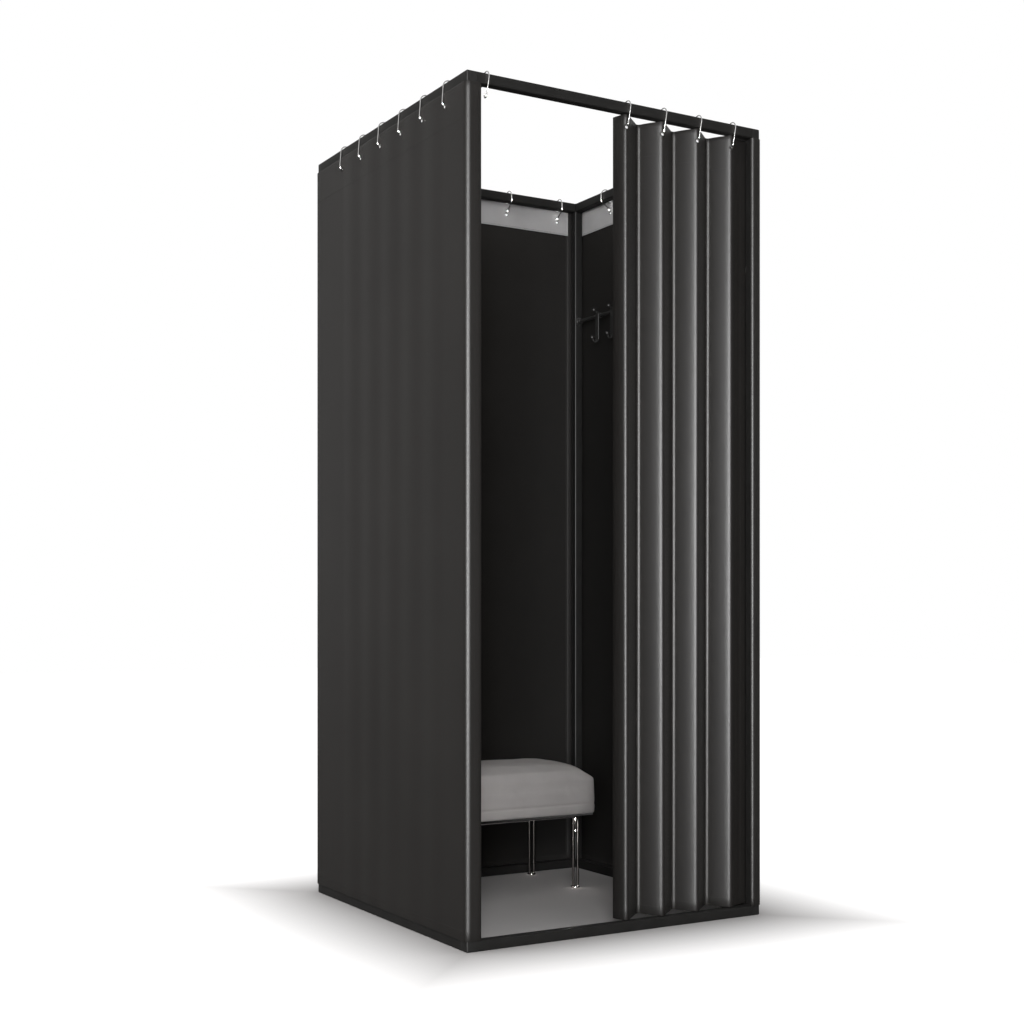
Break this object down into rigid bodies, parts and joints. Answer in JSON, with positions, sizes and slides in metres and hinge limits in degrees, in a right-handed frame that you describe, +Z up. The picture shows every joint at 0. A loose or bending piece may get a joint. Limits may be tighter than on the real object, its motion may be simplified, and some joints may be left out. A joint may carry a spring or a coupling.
{
  "type": "portable fitting room",
  "caption": "Free-standing fitting room: a square tube frame hung with wall curtains and a sliding, pleated front curtain, with a coat rail and an upholstered bench inside.",
  "frame": {"origin": "on the floor, under the middle of the booth", "axes": "+Z up; -Y is the doorway side; +X is to the right of a person who faces the doorway"},
  "size_m": [0.8717, 0.8641, 2.0095],
  "materials": {
    "frame": "satin",
    "connector": "satin",
    "cloth": "satin",
    "steel": "polished",
    "dark": "satin",
    "seat": "matte",
    "leg": "polished"
  },
  "bodies": {
    "booth": {"post_front_left": "frame", "post_front_right": "frame", "post_back_left": "frame", "post_back_right": "frame", "rail_bottom_front": "frame", "rail_bottom_back": "frame", "rail_bottom_left": "frame", "rail_bottom_right": "frame", "rail_top_front": "frame", "rail_top_back": "frame", "rail_top_left": "frame", "rail_top_right": "frame", "corner_bottom_front_left": "connector", "corner_bottom_front_right": "connector", "corner_bottom_back_left": "connector", "corner_bottom_back_right": "connector", "corner_top_front_left": "connector", "corner_top_front_right": "connector", "corner_top_back_left": "connector", "corner_top_back_right": "connector", "left_curtain": "cloth", "right_curtain": "cloth", "back_curtain": "cloth", "left_hook_1": "steel", "left_hook_2": "steel", "left_hook_3": "steel", "left_hook_4": "steel", "left_hook_5": "steel", "left_hook_6": "steel", "right_hook_1": "steel", "right_hook_2": "steel", "right_hook_3": "steel", "right_hook_4": "steel", "right_hook_5": "steel", "right_hook_6": "steel", "back_hook_1": "steel", "back_hook_2": "steel", "back_hook_3": "steel", "back_hook_4": "steel", "back_hook_5": "steel", "front_stop_hook": "steel", "coat_rail": "dark", "coat_rail_cup_front": "dark", "coat_rail_cup_back": "dark", "coat_hook_1": "dark", "coat_hook_2": "dark", "coat_hook_3": "dark", "coat_hook_4": "dark", "bench_seat": "seat", "bench_base": "leg", "bench_leg_front_left": "leg", "bench_leg_front_right": "leg", "bench_leg_back_left": "leg", "bench_leg_back_right": "leg"},
    "curtain_lead": {"front_hook_1": "steel", "front_curtain": "cloth"},
    "curtain_hook_2": {"front_hook_2": "steel"},
    "curtain_hook_3": {"front_hook_3": "steel"},
    "curtain_hook_4": {"front_hook_4": "steel"}
  },
  "joints": [
    {"name": "curtain_slide", "type": "slide", "parent": "booth", "child": "curtain_lead", "axis": [-1, 0, 0], "range_m": [-0.17, 0.36], "deforming": ["front_curtain"]},
    {"name": "hook_2_slide", "type": "slide", "parent": "booth", "child": "curtain_hook_2", "axis": [-1, 0, 0], "range_m": [-0.1354, 0.2862]},
    {"name": "hook_3_slide", "type": "slide", "parent": "booth", "child": "curtain_hook_3", "axis": [-1, 0, 0], "range_m": [-0.0641, 0.1352]},
    {"name": "hook_4_slide", "type": "slide", "parent": "booth", "child": "curtain_hook_4", "axis": [-1, 0, 0], "range_m": [-0.0076, 0.0155]}
  ],
  "couplings": [
    {"joint": "hook_2_slide", "follows": "curtain_slide", "ratio": 0.79357},
    {"joint": "hook_3_slide", "follows": "curtain_slide", "ratio": 0.37417},
    {"joint": "hook_4_slide", "follows": "curtain_slide", "ratio": 0.041633}
  ]
}
